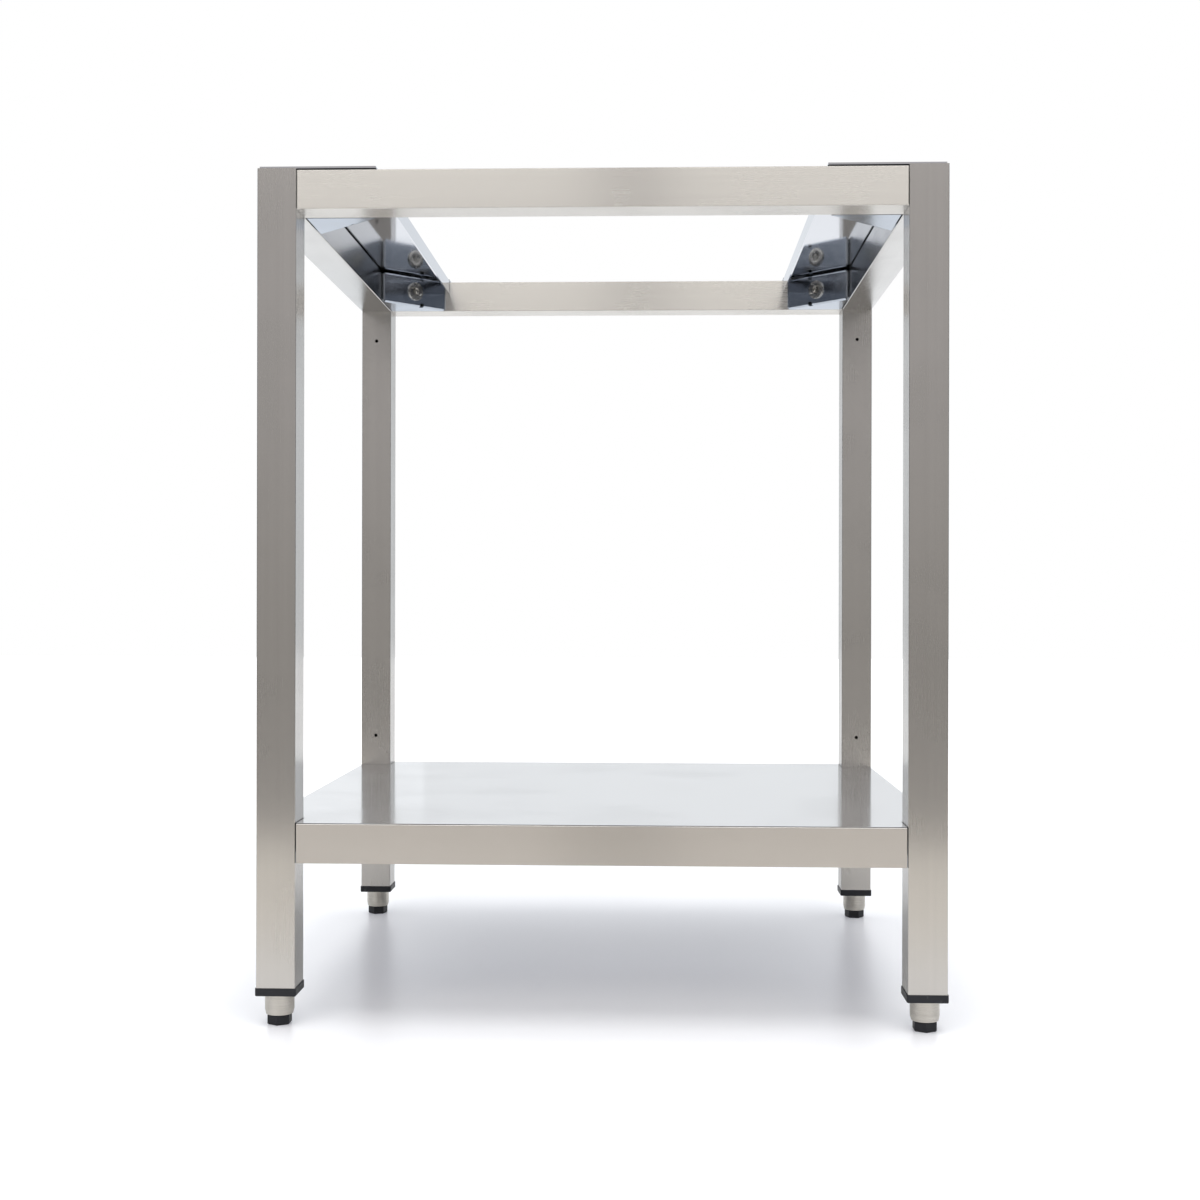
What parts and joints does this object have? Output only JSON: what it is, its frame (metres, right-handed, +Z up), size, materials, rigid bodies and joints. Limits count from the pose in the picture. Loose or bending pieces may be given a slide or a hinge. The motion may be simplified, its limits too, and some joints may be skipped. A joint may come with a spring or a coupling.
{
  "type": "steamer stand",
  "caption": "Open stainless steel stand for a steam oven, with square tube legs and rails, side bearer plates, a folded lower shelf and screw-adjustable levelling feet.",
  "frame": {"origin": "on the floor under the middle of the stand", "axes": "+X to the right seen from the front, +Y to the rear, +Z up"},
  "size_m": [0.702, 0.632, 0.877],
  "materials": {
    "leg_steel": "satin, brushed along the leg",
    "rail_steel": "satin, brushed along the rail",
    "plate_steel": "bright rolled sheet",
    "shelf_steel": "bright rolled sheet",
    "brace_steel": "plain sheet, unbrushed",
    "fastener_steel": "turned and threaded",
    "sleeve_steel": "satin, turned",
    "black_plastic": "fine moulded texture"
  },
  "bodies": {
    "frame": {"front_rail": "rail_steel", "rear_rail": "rail_steel", "left_rail": "rail_steel", "right_rail": "rail_steel", "left_top_plate": "plate_steel", "right_top_plate": "plate_steel", "shelf": "shelf_steel", "shelf_stiffener": "brace_steel", "thread_inserts": "fastener_steel", "front_left_leg": "leg_steel", "front_left_top_brace": "brace_steel", "front_left_shelf_brace": "brace_steel", "front_left_leg_plug": "black_plastic", "front_right_leg": "leg_steel", "front_right_top_brace": "brace_steel", "front_right_shelf_brace": "brace_steel", "front_right_leg_plug": "black_plastic", "rear_left_leg": "leg_steel", "rear_left_top_brace": "brace_steel", "rear_left_shelf_brace": "brace_steel", "rear_left_leg_plug": "black_plastic", "rear_right_leg": "leg_steel", "rear_right_top_brace": "brace_steel", "rear_right_shelf_brace": "brace_steel", "rear_right_leg_plug": "black_plastic", "top_anchor_blocks": "fastener_steel", "top_screws": "fastener_steel", "top_washers": "fastener_steel", "shelf_anchor_blocks": "fastener_steel", "shelf_screws": "fastener_steel", "shelf_washers": "fastener_steel"},
    "front_left_sleeve": {"front_left_foot_sleeve": "sleeve_steel"},
    "front_left_pad": {"front_left_foot_pad": "black_plastic", "front_left_foot_stem": "fastener_steel"},
    "front_right_sleeve": {"front_right_foot_sleeve": "sleeve_steel"},
    "front_right_pad": {"front_right_foot_pad": "black_plastic", "front_right_foot_stem": "fastener_steel"},
    "rear_left_sleeve": {"rear_left_foot_sleeve": "sleeve_steel"},
    "rear_left_pad": {"rear_left_foot_pad": "black_plastic", "rear_left_foot_stem": "fastener_steel"},
    "rear_right_sleeve": {"rear_right_foot_sleeve": "sleeve_steel"},
    "rear_right_pad": {"rear_right_foot_pad": "black_plastic", "rear_right_foot_stem": "fastener_steel"}
  },
  "joints": [
    {"name": "front_left_foot_height", "type": "slide", "parent": "frame", "child": "front_left_sleeve", "axis": [0, 0, -1], "range_m": [-0.014, 0.01575]},
    {"name": "front_left_foot_turn", "type": "hinge", "parent": "front_left_sleeve", "child": "front_left_pad", "pos_m": [-0.33, -0.295, 0], "axis": [0, 0, -1], "range_deg": [-2880, 3240]},
    {"name": "front_right_foot_height", "type": "slide", "parent": "frame", "child": "front_right_sleeve", "axis": [0, 0, -1], "range_m": [-0.014, 0.01575]},
    {"name": "front_right_foot_turn", "type": "hinge", "parent": "front_right_sleeve", "child": "front_right_pad", "pos_m": [0.33, -0.295, 0], "axis": [0, 0, -1], "range_deg": [-2880, 3240]},
    {"name": "rear_left_foot_height", "type": "slide", "parent": "frame", "child": "rear_left_sleeve", "axis": [0, 0, -1], "range_m": [-0.014, 0.01575]},
    {"name": "rear_left_foot_turn", "type": "hinge", "parent": "rear_left_sleeve", "child": "rear_left_pad", "pos_m": [-0.33, 0.295, 0], "axis": [0, 0, -1], "range_deg": [-2880, 3240]},
    {"name": "rear_right_foot_height", "type": "slide", "parent": "frame", "child": "rear_right_sleeve", "axis": [0, 0, -1], "range_m": [-0.014, 0.01575]},
    {"name": "rear_right_foot_turn", "type": "hinge", "parent": "rear_right_sleeve", "child": "rear_right_pad", "pos_m": [0.33, 0.295, 0], "axis": [0, 0, -1], "range_deg": [-2880, 3240]}
  ],
  "couplings": [
    {"joint": "front_left_foot_turn", "follows": "front_left_foot_height", "rad_per_m": 3590.4},
    {"joint": "front_right_foot_turn", "follows": "front_right_foot_height", "rad_per_m": 3590.4},
    {"joint": "rear_left_foot_turn", "follows": "rear_left_foot_height", "rad_per_m": 3590.4},
    {"joint": "rear_right_foot_turn", "follows": "rear_right_foot_height", "rad_per_m": 3590.4}
  ]
}
